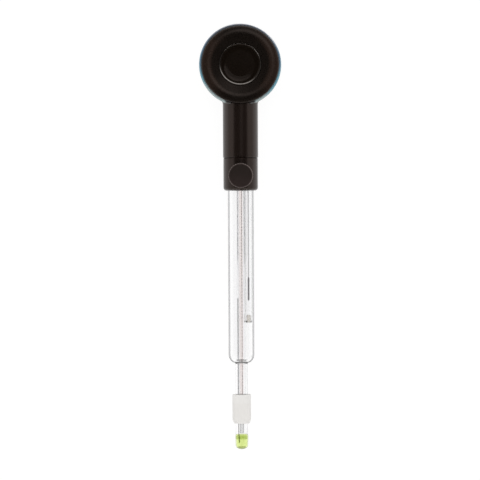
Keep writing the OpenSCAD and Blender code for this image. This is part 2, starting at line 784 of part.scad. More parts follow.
module outer_tube() color("#dfeef2", 0.35) difference() {
    base = s_shoulder - s_taper;
    top = base + shoulder_h;
    inner = shoulder_curve(narrow_bore_r, tube_bore_r, base + tube_wall, top);
    on_shaft(s_taper) revolve() polygon(concat(
        [[narrow_bore_r, 0], [taper_r, 0], [narrow_r, taper_len]],
        shoulder_curve(narrow_r, tube_r, base, top),
        [
            [tube_r, s_collar - s_taper], [tube_seat_r, s_collar - s_taper],
            [tube_seat_r, s_tube_top - s_taper], [tube_bore_r, s_tube_top - s_taper]
        ],
        [for (i = [len(inner) - 1:-1:0]) inner[i]]
    ));
    at_port() cylinder(d = filling_hole_d, h = tube_d, $fn = 48);
    on_shaft(s_taper + taper_len / 2) rotate([0, 90, 0])
        cylinder(d = junction_hole_d, h = tube_d, $fn = 32);
}

module inner_stem() color("#dfeef2", 0.35) {
    // The stem widens to the tip's diameter where the outer tube is fused on
    flare = 1.2;
    tip_bore_r = tip_r - stem_wall;
    h_fuse = s_taper - s_bulb;
    h_top = s_stem_top - s_bulb;
    on_shaft(s_bulb) revolve() polygon([
        [tip_bore_r, 0], [tip_r, 0], [tip_r, h_fuse], [stem_r, h_fuse],
        [stem_r, h_top], [stem_bore_r, h_top], [stem_bore_r, h_fuse], [tip_bore_r, h_fuse - flare]
    ]);
}

// Half of a rounded end, as a quarter ellipse from the centreline outwards
function rounded_end(r, low, high) = [
    for (a = [0:7.5:90]) [r * sin(a), high - (high - low) * cos(a)]
];

// The bulb is a blown cylinder that narrows a little towards its rounded end
module sensing_bulb() color("#b9dc4a", 0.6) on_shaft(0) {
    taper_in = 0.15;
    neck_h = 0.8;
    end_r = bulb_r - taper_in;
    bore = rounded_end(end_r - bulb_wall, bulb_wall, bulb_end);
    revolve() polygon(concat(
        rounded_end(end_r, 0, bulb_end),
        [
            [bulb_r, bulb_len / 2], [bulb_r, bulb_len - neck_h], [tip_r, bulb_len],
            [tip_r - stem_wall, bulb_len], [bulb_r - bulb_wall, bulb_len - neck_h],
            [bulb_r - bulb_wall, bulb_len / 2]
        ],
        [for (i = [len(bore) - 1:-1:0]) bore[i]]
    ));
}

// A silver wire from the sealing plug down to its coated end
module coated_wire(x, wire_r, end_r, from, coated, to) {
    rod(end_r, from, from + coated, x);
    rod(wire_r, from + coated - eps, to, x);
}

module bulb_wire() color("#8f8f96") coated_wire(
    bulb_wire_x, bulb_wire_d / 2, bulb_coating_d / 2, bulb_wire_lift, bulb_coating_len, s_lead_top
);

module reference_element() color("#5d5866") coated_wire(
    reference_x, silver_r, reference_bore_r - coating_space, s_coating, coating_len, s_lead_top
);

s_sensor = s_bulb + 0.4;
s_lead = s_sensor + sensor_len;

module temperature_sensor() color("#a9acae") on_shaft(s_sensor) revolve() {
    r = lead_sleeve_r;
    nose = 0.4;
    translate([0, nose]) square([r, sensor_len - nose]);
    square([r - nose, nose + eps]);
    translate([r - nose, nose]) circle(nose, $fn = 32);
}

module lead_sleeve() color("#e7c9c2", 0.6)
    tube(lead_sleeve_r, lead_sleeve_bore_r, s_lead, s_stem_top + 1);

module temperature_leads() color("#7a5a50") {
    rod(lead_r, s_lead, s_lead_top, lead_r + lead_gap / 2);
    rod(lead_r, s_lead, s_lead_top, -lead_r - lead_gap / 2);
}

module reference_tube() color("#dfeef2", 0.35)
    translate([reference_x, 0, 0])
        tube(reference_r, reference_bore_r, s_reference, s_reference_top);

module reference_frit() color("#c79a5a")
    rod(reference_bore_r - joint_gap, s_reference, s_reference + frit_len, reference_x);

// Cement that closes the tube's top, with the stem, the reference tube and the leads passing through
module sealing_plug() color("#3a3d40") difference() {
    union() {
        rod(tube_bore_r - joint_gap, s_plug, s_tube_top);
        rod(spigot_bore_r - joint_gap, s_tube_top - eps, s_spigot);
    }
    rod(stem_r + joint_gap, s_plug - 1, s_spigot + 1);
    rod(reference_r + joint_gap, s_plug - 1, s_reference_top + joint_gap, reference_x);
    rod(silver_r + joint_gap, s_plug - 1, s_spigot + 1, reference_x);
}

// The sleeve's bore follows the ground taper at a small, even gap
module junction_sleeve() color("#e9e8e4") on_shaft(s_sleeve) revolve() {
    mouth_r = taper_r + run_gap / 2;
    r = mouth_r + sleeve_wall;
    throat_r = narrow_r + run_gap / 2;
    lip = 0.4;
    polygon([
        [mouth_r, 0], [mouth_r + lip, 0], [r, sleeve_chamfer], [r, sleeve_len],
        [throat_r, sleeve_len], [throat_r, taper_lift + taper_len], [mouth_r, taper_lift]
    ]);
}

housing();
light_ring();
front_bezel();
ring_gasket();
button();
switch_plunger();
switch_body();
circuit_board();
radio_module();
circuit_chips();
ring_lamps();
board_screws();
battery_holder();
positive_contact();
negative_contact();
coin_cell();
battery_gasket();
battery_cover();
board_leads();
collar();
sealing_plug();
filling_cap();
cap_screw();
filling_cap_seal();
outer_tube();
inner_stem();
sensing_bulb();
bulb_wire();
lead_sleeve();
temperature_leads();
temperature_sensor();
reference_tube();
reference_frit();
reference_element();
junction_sleeve();
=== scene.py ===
import json
import math

import bmesh
import bpy
import numpy as np
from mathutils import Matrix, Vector


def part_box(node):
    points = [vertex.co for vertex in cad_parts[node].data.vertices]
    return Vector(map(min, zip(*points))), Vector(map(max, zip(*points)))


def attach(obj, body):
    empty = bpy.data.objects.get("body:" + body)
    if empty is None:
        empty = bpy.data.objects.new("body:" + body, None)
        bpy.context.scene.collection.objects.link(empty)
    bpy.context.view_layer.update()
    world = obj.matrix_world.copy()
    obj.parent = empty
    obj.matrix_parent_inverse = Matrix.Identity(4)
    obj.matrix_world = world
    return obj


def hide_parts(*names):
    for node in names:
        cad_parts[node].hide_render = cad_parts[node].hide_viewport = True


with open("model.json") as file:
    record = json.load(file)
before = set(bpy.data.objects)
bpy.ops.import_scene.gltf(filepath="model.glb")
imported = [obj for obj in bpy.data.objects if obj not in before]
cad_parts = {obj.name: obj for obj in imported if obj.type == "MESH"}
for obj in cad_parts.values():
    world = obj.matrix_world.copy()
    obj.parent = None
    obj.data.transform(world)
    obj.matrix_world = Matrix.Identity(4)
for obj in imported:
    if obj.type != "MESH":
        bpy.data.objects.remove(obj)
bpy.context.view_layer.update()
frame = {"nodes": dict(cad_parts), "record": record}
nodes = frame["nodes"]
mm = 0.001
print("frame loaded", len(nodes), "nodes")


# Lengths below are in millimetres, and stations are counted from the tip of the bulb
def boxOf(node):
    low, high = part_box(node)
    return np.array(low) / mm, np.array(high) / mm


tubeLow, tubeHigh = boxOf("outer_tube")
tipY = boxOf("sensing_bulb")[0][1]
axisZ = (tubeLow[2] + tubeHigh[2]) / 2
headLow, headHigh = boxOf("light_ring")
headY = (headLow[1] + headHigh[1]) / 2
capLow, capHigh = boxOf("filling_cap")
capY = (capLow[1] + capHigh[1]) / 2
referenceX = float((boxOf("reference_tube")[0][0] + boxOf("reference_tube")[1][0]) / 2)
rootBody, sleeveBody = "root", "sleeve"


def startOf(node):
    return boxOf(node)[0][1] - tipY


def endOf(node):
    return boxOf(node)[1][1] - tipY


# Shader maths: a value wraps a socket, and an expression on values adds its Math nodes
class Value:
    def __init__(self, graph, node, output=0):
        self.graph, self.node = graph, node
        self.socket = node.outputs[output] if node.outputs else None

    def output(self, name):
        return Value(self.graph, self.node, name)

    def math(self, operation, *others):
        return self.graph.math(operation, self, *others)

    def __add__(self, other):
        return self.math("ADD", other)

    def __radd__(self, other):
        return self.graph.math("ADD", other, self)

    def __sub__(self, other):
        return self.math("SUBTRACT", other)

    def __rsub__(self, other):
        return self.graph.math("SUBTRACT", other, self)

    def __mul__(self, other):
        return self.math("MULTIPLY", other)

    def __rmul__(self, other):
        return self.graph.math("MULTIPLY", other, self)

    def __truediv__(self, other):
        return self.math("DIVIDE", other)

    def __pow__(self, other):
        return self.math("POWER", other)

    # 0 below low, 1 above high, and smooth between them
    def rise(self, low, high):
        settings = {"interpolation_type": "SMOOTHSTEP"}
        return self.graph.add("ShaderNodeMapRange", settings, {0: self, 1: low, 2: high})

    # 1 between low and high, fading out over the given width on both sides
    def band(self, low, high, fade):
        return self.rise(low - fade, low) * (1 - self.rise(high, high + fade))


class Graph:
    def __init__(self, tree):
        self.tree = tree
        tree.nodes.clear()

    def add(self, kind, settings, inputs, output=0):
        node = self.tree.nodes.new(kind)
        for name, setting in settings.items():
            setattr(node, name, setting)
        for key, given in inputs.items():
            if isinstance(given, Value):
                self.tree.links.new(given.socket, node.inputs[key])
            else:
                node.inputs[key].default_value = given
        return Value(self, node, output)

    def math(self, operation, *values):
        return self.add("ShaderNodeMath", {"operation": operation}, dict(enumerate(values)))

    def mix(self, factor, first, second):
        first, second = [c if isinstance(c, Value) else (*c, 1) for c in (first, second)]
        return self.add("ShaderNodeMix", {"data_type": "RGBA"}, {0: factor, 6: first, 7: second}, 2)

    # Object coordinates are the row's own, because every piece sits at the origin
    def place(self):
        return self.add("ShaderNodeTexCoord", {}, {}, "Object")

    def parts(self, vector):
        split = self.add("ShaderNodeSeparateXYZ", {}, {0: vector})
        return split, split.output("Y"), split.output("Z")

    # Fractal noise from 0 to 1 whose features are about size millimetres wide
    def noise(self, size, detail=2.0, vector=None, roughness=0.5):
        inputs = {"Vector": vector or self.place(), "Scale": 1 / (size * mm)}
        inputs.update({"Detail": detail, "Roughness": roughness})
        return self.add("ShaderNodeTexNoise", {}, inputs)

    # A bump whose height is given in millimetres
    def bump(self, height, depth):
        return self.add("ShaderNodeBump", {}, {"Height": height, "Distance": depth * mm})

    def surface(self, **inputs):
        named = {name.replace("_", " "): value for name, value in inputs.items()}
        if not isinstance(named["Base Color"], Value):
            named["Base Color"] = (*named["Base Color"], 1)
        shader = self.add("ShaderNodeBsdfPrincipled", {}, named)
        self.add("ShaderNodeOutputMaterial", {}, {"Surface": shader})


def newMaterial(name):
    material = bpy.data.materials.new(name)
    material.use_nodes = True
    return material, Graph(material.node_tree)


# Where a CAD node lies round the head, for patterns that follow the head's circle
def headRadius(graph):
    x, y, z = graph.parts(graph.place())
    return (x * x + (y - headY * mm) ** 2) ** 0.5 / mm


# Moulded plastic: a fine even grain, a faint cloudiness in its sheen and a little dust, and where asked
# a painted highlight on the head's crest at its left and right
mouldedLook = {
    "grainSize": 0.22,
    "cloudSize": 6.0,
    "dustSize": 0.5,
    "dustShade": (0.16, 0.15, 0.14),
    "ridgeRadii": (12.6, 14.2),
    "glossTint": (1.0, 0.82, 0.75),
}


def moulded(name, base, rough, grain, dust=0.04, sheen=0.5, coat=0.0, tint=mouldedLook["glossTint"],
            crestHighlight=None):
    material, graph = newMaterial(name)
    # Painted highlight: the crest is lighter out from ridgeRadii, at the left and right of the head
    if crestHighlight:
        aside = graph.parts(graph.place())[0] / mm / headRadius(graph)
        crestHighlightMask = headRadius(graph).rise(*mouldedLook["ridgeRadii"]) * (aside * aside).rise(0.1, 0.8)
        base = graph.mix(crestHighlightMask, base, crestHighlight)
    cloud = graph.noise(mouldedLook["cloudSize"], 3.0)
    specks = graph.noise(mouldedLook["dustSize"], 4.0).rise(0.66, 0.74)
    colour = graph.mix(specks * dust, base, mouldedLook["dustShade"])
    fine = graph.noise(mouldedLook["grainSize"], 2.0)
    graph.surface(
        Base_Color=colour,
        Roughness=rough + (cloud - 0.5) * 0.1 + specks * 0.1,
        Specular_IOR_Level=sheen,
        Specular_Tint=(*tint, 1),
        Coat_Weight=coat,
        Coat_Roughness=0.12,
        Normal=graph.bump(fine, grain),
    )
    return material


# Plain soft or resin piece with a slight mottle
def mottled(name, base, second, rough, size=0.6, grain=0.004, metal=0.0, sheen=0.5, clear=0.0):
    material, graph = newMaterial(name)
    cloud = graph.noise(size, 4.0)
    graph.surface(
        Base_Color=graph.mix(cloud.rise(0.35, 0.65), base, second),
        Roughness=rough + (cloud - 0.5) * 0.16,
        Metallic=metal,
        Specular_IOR_Level=sheen,
        Transmission_Weight=clear,
        Normal=graph.bump(graph.noise(size / 4, 3.0), grain),
    )
    return material


def metal(name, base, rough, stretch=(1, 1, 1)):
    material, graph = newMaterial(name)
    spread = graph.add("ShaderNodeMapping", {}, {"Vector": graph.place(), "Scale": stretch})
    brushed = graph.noise(0.3, 4.0, spread)
    wearAndPaintedHighlight = graph.noise(2.5, 3.0)
    dull = [c * 0.7 for c in base]
    graph.surface(
        Base_Color=graph.mix(wearAndPaintedHighlight.rise(0.35, 0.75), base, dull),
        Metallic=1.0,
        Roughness=rough + (brushed - 0.5) * 0.2,
        Normal=graph.bump(brushed, 0.004),
    )
    return material


# Clear glass, with a dark line painted as shade where the outer skin of a tube is seen at a grazing angle.
# Radii pick the skin, facing values the angle, and each weight is how dark its line is
glassLook = {
    "clear": (0.994, 0.994, 0.997),
    "dark": (0.03, 0.03, 0.032),
    "narrow": 2.8,
    "shoulderWidth": 3.2,
    "shoulderHeight": 4.3,
    "bareLength": 14.5,
    "wideRadii": (5.4, 5.6),
    "narrowRadii": (2.6, 3.3),
    "stemRadii": (1.65, 1.85),
    "referenceRadii": (1.4, 1.6),
    "wideFacing": (0.45, 0.51),
    "narrowFacing": (0.56, 0.64),
    "shoulderFacing": (0.45, 0.6),
    "stemFacing": (0.31, 0.36),
    "referenceFacing": (0.48, 0.56),
    "wideLine": 0.75,
    "shoulder": 0.9,
    "narrowSkin": 0.15,
    "stemAbove": 0.85,
    "stemBelow": 0.10,
    "stemLine": 1.0,
    "lineUpTo": 70.2,
    "referenceSkin": 0.80,
}


# A painted shade line: the edge colour where a surface is seen at a grazing angle
def grazed(graph, base, edge, low, high):
    facing = graph.add("ShaderNodeLayerWeight", {}, {"Blend": 0.5}, "Facing")
    return graph.mix(facing.rise(low, high), base, edge)


def clearGlass():
    material, graph = newMaterial("clear_glass")
    look = glassLook
    x, y, z = graph.parts(graph.place())
    station = y / mm - tipY
    fromAxis = (x * x + (z - axisZ * mm) ** 2) ** 0.5 / mm
    fromReference = ((x - referenceX * mm) ** 2 + (z - axisZ * mm) ** 2) ** 0.5 / mm
    facing = graph.add("ShaderNodeLayerWeight", {}, {"Blend": 0.5}, "Facing")
    wideSkin = fromAxis.rise(*look["wideRadii"])
    shoulderTop = endOf("junction_sleeve") + look["bareLength"] + look["shoulderHeight"]
    across = (fromAxis - look["narrow"]) / look["shoulderWidth"]
    along = (shoulderTop - station) / look["shoulderHeight"]
    curve = across * across + along * along
    shoulder = curve.rise(0.86, 0.92) * station.band(shoulderTop - 4.5, shoulderTop - 1.6, 0.4)
    narrowSkin = fromAxis.band(*look["narrowRadii"], 0.1)
    stemSkin = fromAxis.band(*look["stemRadii"], 0.05)
    referenceSkin = fromReference.band(*look["referenceRadii"], 0.05) * (1 - wideSkin) * (1 - stemSkin)
    lower = 1 - station.rise(look["lineUpTo"] - 0.3, look["lineUpTo"])
    stem = look["stemBelow"] + station.rise(80, 92) * (look["stemAbove"] - look["stemBelow"])
    # The stem's painted shade line is stronger along its left side, below lineUpTo
    stem = stem + lower * (-1 * x / mm).rise(1.0, 1.2) * (look["stemLine"] - look["stemBelow"])
    dark = facing.rise(*look["wideFacing"]) * wideSkin * (1 - shoulder) * look["wideLine"]
    dark = dark + facing.rise(*look["narrowFacing"]) * narrowSkin * (1 - shoulder) * look["narrowSkin"]
    dark = dark + facing.rise(*look["shoulderFacing"]) * shoulder * fromAxis.rise(3.4, 4.4) * look["shoulder"]
    dark = dark + facing.rise(*look["stemFacing"]) * stemSkin * stem
    dark = dark + facing.rise(*look["referenceFacing"]) * referenceSkin * look["referenceSkin"]
    tint = graph.mix(dark, look["clear"], look["dark"])
    graph.surface(Base_Color=tint, Roughness=0.0, IOR=1.47, Transmission_Weight=1.0)
    return material


# The ring's translucent blue plastic, with light and shade painted into its colour: painted shade deep at the
# bezel and where it passes over the neck, painted light paler outwards, lilac towards the head's top, cyan
# on its lower half and paler still beside the neck, and a painted highlight line along the bezel at the top
ringLook = {
    "inner": (0.045, 0.065, 0.085),
    "body": (0.13, 0.24, 0.35),
    "edge": (0.32, 0.52, 0.63),
    "low": (0.17, 0.40, 0.50),
    "top": (0.22, 0.24, 0.31),
    "foot": (0.40, 0.49, 0.50),
    "paintedHighlightLine": (0.86, 0.88, 0.96),
    "paintedNeckShade": (0.03, 0.026, 0.025),
}


def ringPlastic():
    material, graph = newMaterial("ring_diffuser")
    x, y, z = graph.parts(graph.place())
    radius = headRadius(graph)
    outer = headHigh[0]
    ahead = (y - headY * mm) / mm / radius
    aside = x / mm / radius
    # Painted light: paler at the outer edge, lilac at the top, cyan on the lower half and pale beside the
    # neck
    body = graph.mix(radius.rise(outer - 0.45, outer - 0.05), ringLook["body"], ringLook["edge"])
    body = graph.mix(ahead.rise(0.2, 0.9), body, ringLook["top"])
    body = graph.mix((-1 * ahead).rise(0.0, 0.35), body, ringLook["low"])
    body = graph.mix((-1 * ahead - 0.15 * aside).rise(0.45, 0.8), body, ringLook["foot"])
    # Painted shade where the ring passes over the neck
    neck = 1 - (x * x / mm / mm).rise(6.2 * 6.2, 7.6 * 7.6)
    body = graph.mix(neck * (-1 * ahead).rise(0.5, 0.6), body, ringLook["paintedNeckShade"])
    # Painted shade deep at the bezel
    colour = graph.mix(radius.rise(outer - 1.2, outer - 0.5), ringLook["inner"], body)
    # A painted highlight line along the bezel, towards the top
    paintedHighlightLine = radius.band(outer - 0.62, outer - 0.4, 0.08) * (0.94 * ahead + 0.34 * aside).rise(0.6, 0.95)
    graph.surface(
        Base_Color=graph.mix(paintedHighlightLine, colour, ringLook["paintedHighlightLine"]),
        Roughness=0.2 + graph.noise(3.0) * 0.08,
        IOR=1.5,
        Transmission_Weight=0.1,
        Subsurface_Weight=0.15,
        Subsurface_Radius=(0.3 * mm, 0.4 * mm, 0.5 * mm),
        Subsurface_Scale=1.0,
        Coat_Weight=0.3,
        Coat_Roughness=0.1,
    )
    return material


# The button's plastic, with a painted highlight on its rim, strongest at the top and weaker at the bottom
buttonLook = {
    "base": (0.0052, 0.0034, 0.0021),
    "rimHighlight": (0.42, 0.40, 0.38),
    "rimRadius": 9.45,
    "rimWidth": 0.16,
}


def buttonPlastic():
    material, graph = newMaterial("button_plastic")
    x, y, z = graph.parts(graph.place())
    radius = headRadius(graph)
    ahead = (y - headY * mm) / mm / radius
    aside = x / mm / radius
    low = buttonLook["rimRadius"] - buttonLook["rimWidth"]
    high = buttonLook["rimRadius"] + buttonLook["rimWidth"]
    # Painted highlight on the rim: strong at the top, weaker at the bottom, faint elsewhere
    top = (0.97 * ahead + 0.2 * aside).rise(0.4, 0.9) * 1.2
    foot = (-0.94 * ahead - 0.34 * aside).rise(0.35, 0.85) * 0.6
    hollow = radius.band(6.2, 7.8, 0.5) * foot
    # The rim's painted highlight, broken up by noise
    wearAndPaintedHighlight = radius.band(low, high, 0.06) * (top + foot + 0.04) * (0.6 + graph.noise(0.6, 3.0) * 0.7)
    graph.surface(
        Base_Color=graph.mix(wearAndPaintedHighlight, buttonLook["base"], buttonLook["rimHighlight"]),
        Roughness=0.11 + (graph.noise(6.0, 3.0) - 0.5) * 0.06 + wearAndPaintedHighlight * 0.3 + hollow * 0.4,
        Specular_Tint=(*mouldedLook["glossTint"], 1),
        Normal=graph.bump(graph.noise(0.22), 0.001),
    )
    return material


# Cap plastic with a painted highlight along the knurl's edge, stronger towards the upper right, and painted
# shade on its face, darker towards the top
def capPlastic():
    material, graph = newMaterial("cap_plastic")
    x, y, z = graph.parts(graph.place())
    radius = (x * x + (y - capY * mm) ** 2) ** 0.5 / mm
    # Painted light: the knurl's highlight grows towards the upper right
    lit = 0.55 + (0.6 * x / mm + 0.4 * (y / mm - capY)).rise(-2.5, 4.5) * 0.45
    # Painted highlight along the knurl's edge, broken up by noise
    wearAndPaintedHighlight = radius.rise(capHigh[0] - 0.6, capHigh[0] - 0.3) * graph.noise(0.8, 3.0).rise(0.2, 0.55) * lit
    # Painted shade: the face is darker towards the top and lighter towards the bottom
    face = graph.mix((y / mm - capY).rise(-5, 4), (0.019, 0.012, 0.0115), (0.0115, 0.0080, 0.0068))
    graph.surface(
        Base_Color=graph.mix(wearAndPaintedHighlight, face, (0.125, 0.102, 0.098)),
        Roughness=0.4 + (graph.noise(4.0, 3.0) - 0.5) * 0.1,
        Specular_Tint=(*mouldedLook["glossTint"], 1),
        Normal=graph.bump(graph.noise(0.2, 2.0), 0.012),
    )
    return material


# The sleeve's frosted plastic, a little greyer where the ground joint lies under it
sleeveLook = {
    "body": (0.99, 0.985, 0.975),
    "joint": (0.97, 0.96, 0.945),
}


def sleevePlastic():
    material, graph = newMaterial("fluoropolymer")
    x, y, z = graph.parts(graph.place())
    station = (y / mm) - (tipY + startOf("junction_sleeve"))
    cloud = graph.noise(1.6, 4.0)
    joint = station.band(1.5, 9.0, 0.8) * (0.5 + cloud * 0.5)
    graph.surface(
        Base_Color=graph.mix(joint, sleeveLook["body"], sleeveLook["joint"]),
        Roughness=0.42 + (cloud - 0.5) * 0.1,
        IOR=1.36,
        Transmission_Weight=0.12,
        Normal=graph.bump(graph.noise(0.3, 3.0), 0.01),
    )
    return material


# Sensing glass: yellow-green, with an olive band below its seam and a painted shade line at its grazing edges
bulbLook = {
    "body": (0.87, 0.94, 0.56),
    "olive": (0.68, 0.77, 0.36),
    "foot": (0.30, 0.34, 0.12),
    "edge": (0.34, 0.38, 0.14),
}


def bulbGlass():
    material, graph = newMaterial("bulb_glass")
    x, y, z = graph.parts(graph.place())
    station = y / mm - tipY
    tint = graph.mix(station.band(4.9, 6.1, 0.5), bulbLook["body"], bulbLook["olive"])
    tint = graph.mix(station.band(0.3, 0.75, 0.2), tint, bulbLook["foot"])
    # Painted shade: darker where the bulb is seen at a grazing angle
    tint = grazed(graph, tint, bulbLook["edge"], 0.5, 0.8)
    graph.surface(Base_Color=tint, Roughness=0.05, IOR=1.5, Transmission_Weight=1.0)
    return material


# A silver wire: bare metal above, a matt chloride coat on the end, and duller metal where asked
def coatedSilver(name, coatFrom, coatTo, bare, darker, lighter, dull=None):
    material, graph = newMaterial(name)
    x, y, z = graph.parts(graph.place())
    station = y / mm - tipY
    coated = station.band(coatFrom, coatTo, 0.05)
    if dull:
        bare = graph.mix(station.rise(dull - 0.3, dull + 0.6), (0.20, 0.17, 0.16), bare)
    cloud = graph.noise(0.4, 4.0)
    dark = graph.mix(cloud, darker, lighter)
    graph.surface(
        Base_Color=graph.mix(coated, bare, dark),
        Metallic=1 - coated,
        Roughness=0.3 + coated * 0.45,
        Normal=graph.bump(cloud, 0.02),
    )
    return material


boardLook = {
    "mask": (0.012, 0.11, 0.055),
    "copper": (0.02, 0.16, 0.08),
}


# Solder mask with the faint relief of tracks under it
def boardLaminate():
    material, graph = newMaterial("board_laminate")
    steps = graph.add("ShaderNodeTexVoronoi", {"distance": "MANHATTAN", "feature": "F1"},
                      {"Vector": graph.place(), "Scale": 1 / (1.8 * mm)})
    tracks = steps.rise(0.18, 0.24) * (1 - steps.rise(0.34, 0.4))
    graph.surface(
        Base_Color=graph.mix(tracks, boardLook["mask"], boardLook["copper"]),
        Roughness=0.32,
        Normal=graph.bump(tracks, 0.02),
    )
    return material


materials = {
    "housing_plastic": moulded("housing_plastic", (0.0095, 0.0058, 0.0046), 0.24, 0.004),
    "collar_plastic": moulded("collar_plastic", (0.0100, 0.0062, 0.0050), 0.24, 0.004),
    # The bezel gets a painted highlight on its crest at the left and right
    "bezel_plastic": moulded("bezel_plastic", (0.0050, 0.0034, 0.0024), 0.27, 0.003, 0.03,
                              crestHighlight=(0.0185, 0.0105, 0.0075)),
    "button_plastic": buttonPlastic(),
    "cover_plastic": moulded("cover_plastic", (0.012, 0.009, 0.008), 0.42, 0.012),
    "switch_plastic": moulded("switch_plastic", (0.02, 0.02, 0.02), 0.4, 0.004),
    "chip_plastic": moulded("chip_plastic", (0.022, 0.022, 0.024), 0.45, 0.004),
    "holder_plastic": moulded("holder_plastic", (0.62, 0.58, 0.48), 0.5, 0.006),
    "plunger_plastic": moulded("plunger_plastic", (0.5, 0.48, 0.44), 0.4, 0.004),
    "seal_rubber": mottled("seal_rubber", (0.05, 0.05, 0.052), (0.075, 0.075, 0.078), 0.6),
    "cap_seal_rubber": mottled("cap_seal_rubber", (0.30, 0.05, 0.03), (0.36, 0.07, 0.04), 0.55),
    "lead_insulation": mottled("lead_insulation", (0.45, 0.06, 0.04), (0.5, 0.08, 0.05), 0.45),
    "lamp_resin": mottled("lamp_resin", (0.8, 0.86, 0.9), (0.7, 0.78, 0.84), 0.15),
    "cement": mottled("cement", (0.06, 0.06, 0.065), (0.09, 0.09, 0.095), 0.55, 1.2, 0.02),
    "sensor_resin": mottled("sensor_resin", (0.86, 0.86, 0.86), (0.94, 0.94, 0.94), 0.5, clear=0.95),
    "frit_ceramic": mottled("frit_ceramic", (0.95, 0.88, 0.78), (0.99, 0.96, 0.91), 0.5, 0.25, 0.02,
                            clear=0.95),
    "shield_steel": metal("shield_steel", (0.7, 0.7, 0.69), 0.3, (6, 1, 1)),
    "screw_steel": metal("screw_steel", (0.6, 0.6, 0.62), 0.3),
    "contact_metal": metal("contact_metal", (0.72, 0.5, 0.2), 0.28, (1, 6, 1)),
    "cell_steel": metal("cell_steel", (0.66, 0.66, 0.67), 0.22, (1, 6, 1)),
    "clear_glass": clearGlass(),
    "bulb_glass": bulbGlass(),
    "board_laminate": boardLaminate(),
    "ring_diffuser": ringPlastic(),
    "cap_plastic": capPlastic(),
    "fluoropolymer": sleevePlastic(),
}
print("materials made")


def finishNode(name, material):
    mesh = nodes[name].data
    mesh.materials.clear()
    mesh.materials.append(material)


slotOf = {part["node"]: part["material_slot"] for part in frame["record"]["subparts"]}
for node, slotName in slotOf.items():
    if slotName in materials:
        finishNode(node, materials[slotName])


# A grid of points (rows x columns) becomes a mesh. Rows may close on themselves, and columns always do
def gridMesh(name, points, closeRows):
    rows, columns = points.shape[:2]
    index = np.arange(rows * columns).reshape(rows, columns)
    right = np.roll(index, -1, axis=1)
    if closeRows:
        quads = np.stack([index, right, np.roll(right, -1, 0), np.roll(index, -1, 0)], axis=-1)
    else:
        quads = np.stack([index[:-1], right[:-1], right[1:], index[1:]], axis=-1)
    mesh = bpy.data.meshes.new(name)
    mesh.from_pydata((points.reshape(-1, 3) * mm).tolist(), [], quads.reshape(-1, 4).tolist())
    shape = bmesh.new()
    shape.from_mesh(mesh)
    bmesh.ops.remove_doubles(shape, verts=shape.verts, dist=1e-8)
    bmesh.ops.recalc_face_normals(shape, faces=shape.faces)
    shape.to_mesh(mesh)
    shape.free()
    mesh.shade_smooth()
    mesh.set_sharp_from_angle(angle=math.radians(42))
    piece = bpy.data.objects.new(name, mesh)
    bpy.context.scene.collection.objects.link(piece)
    return piece


# Surface of revolution: (radius, station) pairs turned about a line along Y
def turned(name, profile, centreX=0.0, segments=128, ring=True):
    radius, station = np.array(profile, float).T
    turn = np.linspace(0, 2 * np.pi, segments, endpoint=False)
    points = np.empty((len(radius), segments, 3))
    points[..., 0] = centreX + radius[:, None] * np.cos(turn)
    points[..., 1] = tipY + station[:, None]
    points[..., 2] = axisZ + radius[:, None] * np.sin(turn)
    return gridMesh(name, points, ring)


# A round wire of the given radii along a path of (x, station, z) points
def swept(name, path, radii, sides=12):
    path = np.array(path, float)
    path[:, 1] += tipY
    path[:, 2] += axisZ
    tangent = np.gradient(path, axis=0)
    tangent /= np.linalg.norm(tangent, axis=1, keepdims=True)
    across = np.cross(tangent, [0.0, 0.0, 1.0])
    across /= np.linalg.norm(across, axis=1, keepdims=True)
    up = np.cross(across, tangent)
    turn = np.linspace(0, 2 * np.pi, sides, endpoint=False)
    radii = np.broadcast_to(radii, len(path))[:, None, None]
    circle = across[:, None] * np.cos(turn)[:, None] + up[:, None] * np.sin(turn)[:, None]
    return gridMesh(name, path[:, None] + circle * radii, False)


# The radii of a wire whose ends are closed by a rounded point
def roundedEnds(count, radius):
    radii = np.full(count, float(radius))
    radii[[0, -1]] = 0
    radii[[1, -2]] = radius * 0.7
    return radii


def finishPiece(piece, material, slotName, body, *replaced):
    piece.data.materials.append(material)
    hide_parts(*replaced)
    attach(piece, body)
    return piece


# A fillet's points from start to end of a quarter ellipse between two radii
def quarter(fromRadius, toRadius, fromStation, toStation, steps):
    angle = np.linspace(0, np.pi / 2, steps)
    radius = fromRadius + (toRadius - fromRadius) * np.sin(angle)
    station = toStation - (toStation - fromStation) * np.cos(angle)
    return list(zip(radius, station))


# Wide tube, blown shoulder, narrow tube and ground taper, all one piece of glass
shaft = {
    "tubeRadius": 6.0,
    "tubeWall": 0.9,
    "drawIn": 0.2,
    "hiddenLength": 13.2,
    "shoulderHeight": 4.3,
    "narrowRadius": 2.8,
    "narrowWall": 0.6,
    "taperRadius": 3.1,
    "fillet": 0.4,
    "taperLength": 7.5,
    "bareLength": 14.5,
    "fillingHole": 3.0,
    "junctionHole": 0.7,
    "edge": 0.12,
}


def cutHole(piece, centre, direction, diameter, length):
    bpy.ops.mesh.primitive_cylinder_add(
        vertices=64, radius=diameter / 2 * mm, depth=length * mm, location=np.array(centre) * mm)
    cutter = bpy.context.object
    cutter.rotation_mode = "QUATERNION"
    cutter.rotation_quaternion = Vector(direction).to_track_quat("Z", "Y")
    hole = piece.modifiers.new("hole", "BOOLEAN")
    hole.object, hole.solver = cutter, "EXACT"
    bpy.context.view_layer.update()
    cut = bpy.data.meshes.new_from_object(piece.evaluated_get(bpy.context.evaluated_depsgraph_get()))
    piece.modifiers.clear()
    piece.data = cut
    cut.shade_smooth()
    cut.set_sharp_from_angle(angle=math.radians(42))
    bpy.data.objects.remove(cutter)


